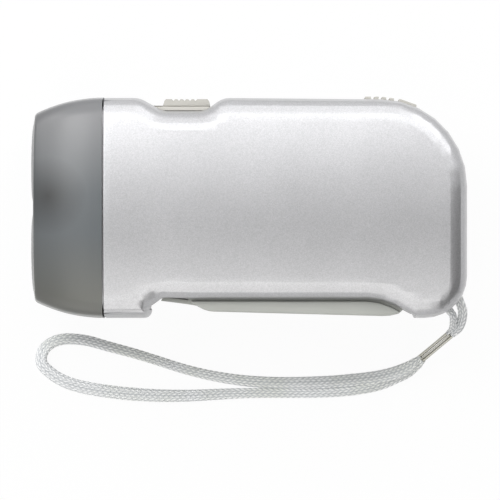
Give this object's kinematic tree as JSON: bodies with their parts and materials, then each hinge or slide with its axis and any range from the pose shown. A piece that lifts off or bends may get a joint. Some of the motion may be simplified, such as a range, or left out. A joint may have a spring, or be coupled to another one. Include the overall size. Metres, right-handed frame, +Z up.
{
  "type": "hand crank flashlight",
  "caption": "Hand-squeezed dynamo torch with a toothed lever, gear train, flywheel generator, twin lamps under a smoky cap and a wrist strap.",
  "frame": {"origin": "on the surface the torch lies on, under the middle of the torch, strap not counted", "axes": "+X from the lamp to the tail, +Y from the squeeze lever to the thumb switch, +Z up out of the surface"},
  "size_m": [0.1004, 0.0709, 0.038],
  "materials": {
    "case_silver": "satin",
    "head_smoke": "gloss",
    "grip_grey": "matte",
    "cup_chrome": "mirror",
    "pin_steel": "satin",
    "gear_nylon": "matte",
    "ferrule_brass": "satin",
    "coil_copper": "satin",
    "magnet_dark": "matte",
    "board_green": "matte",
    "lamp_clear": "gloss",
    "part_black": "matte",
    "wire_red": "matte",
    "strap_braid": "woven"
  },
  "bodies": {
    "case": {"case_upper": "case_silver", "case_lower": "case_silver", "head_cap": "head_smoke", "reflector": "cup_chrome", "led_upper": "lamp_clear", "led_lower": "lamp_clear", "led_board": "board_green", "lever_pin": "pin_steel", "lever_spring": "pin_steel", "slide_switch": "part_black", "axle_one": "pin_steel", "axle_two": "pin_steel", "rotor_axle": "pin_steel", "pole_upper": "pin_steel", "pole_lower": "pin_steel", "coil": "coil_copper", "circuit_board": "board_green", "button_cell_1": "pin_steel", "button_cell_2": "pin_steel", "button_cell_3": "pin_steel", "diode_1": "part_black", "diode_2": "part_black", "diode_3": "part_black", "diode_4": "part_black", "capacitor": "part_black", "lamp_wire_red": "wire_red", "lamp_wire_black": "part_black", "coil_wire_red": "wire_red", "coil_wire_black": "part_black", "case_screw_1": "pin_steel", "case_screw_2": "pin_steel", "case_screw_3": "pin_steel", "case_screw_4": "pin_steel", "board_screw_1": "pin_steel", "board_screw_2": "pin_steel", "strap_pin": "pin_steel", "strap_ferrule": "ferrule_brass", "wrist_loop": "strap_braid", "lug_loop": "strap_braid"},
    "lever": {"squeeze_lever": "grip_grey", "rack_sector": "gear_nylon"},
    "first_gear": {"gear_one": "gear_nylon"},
    "second_gear": {"gear_two": "gear_nylon"},
    "clutch": {"clutch_pinion": "gear_nylon"},
    "rotor": {"flywheel": "grip_grey", "flywheel_weight": "pin_steel", "ring_magnet": "magnet_dark"},
    "switch": {"switch_knob": "grip_grey"},
    "lock": {"lock_slider": "case_silver"}
  },
  "joints": [
    {"name": "lever_squeeze", "type": "hinge", "parent": "case", "child": "lever", "pos_m": [-0.014, -0.0165, 0.019], "axis": [0, 0, 1], "range_deg": [-24, 0]},
    {"name": "first_gear_spin", "type": "hinge", "parent": "case", "child": "first_gear", "pos_m": [0.02415, -0.00628, 0.019], "axis": [0, 0, 1], "range_deg": [-235, 0]},
    {"name": "second_gear_spin", "type": "hinge", "parent": "case", "child": "second_gear", "pos_m": [0.0122, 0.00375, 0.019], "axis": [0, 0, 1], "range_deg": [0, 986]},
    {"name": "clutch_spin", "type": "hinge", "parent": "case", "child": "clutch", "pos_m": [-0.00025, 0.00484, 0.019], "axis": [0, 0, 1], "range_deg": [-3943, 0]},
    {"name": "flywheel_spin", "type": "hinge", "parent": "case", "child": "rotor", "pos_m": [-0.00025, 0.00484, 0.019], "axis": [0, 0, 1], "continuous": true},
    {"name": "switch_slide", "type": "slide", "parent": "case", "child": "switch", "axis": [1, 0, 0], "range_m": [-0.003, 0]},
    {"name": "lock_slide", "type": "slide", "parent": "case", "child": "lock", "axis": [1, 0, 0], "range_m": [-0.0026, 0]}
  ],
  "couplings": [
    {"joint": "first_gear_spin", "follows": "lever_squeeze", "ratio": 9.7778},
    {"joint": "second_gear_spin", "follows": "lever_squeeze", "ratio": -41.067},
    {"joint": "clutch_spin", "follows": "lever_squeeze", "ratio": 164.27}
  ]
}
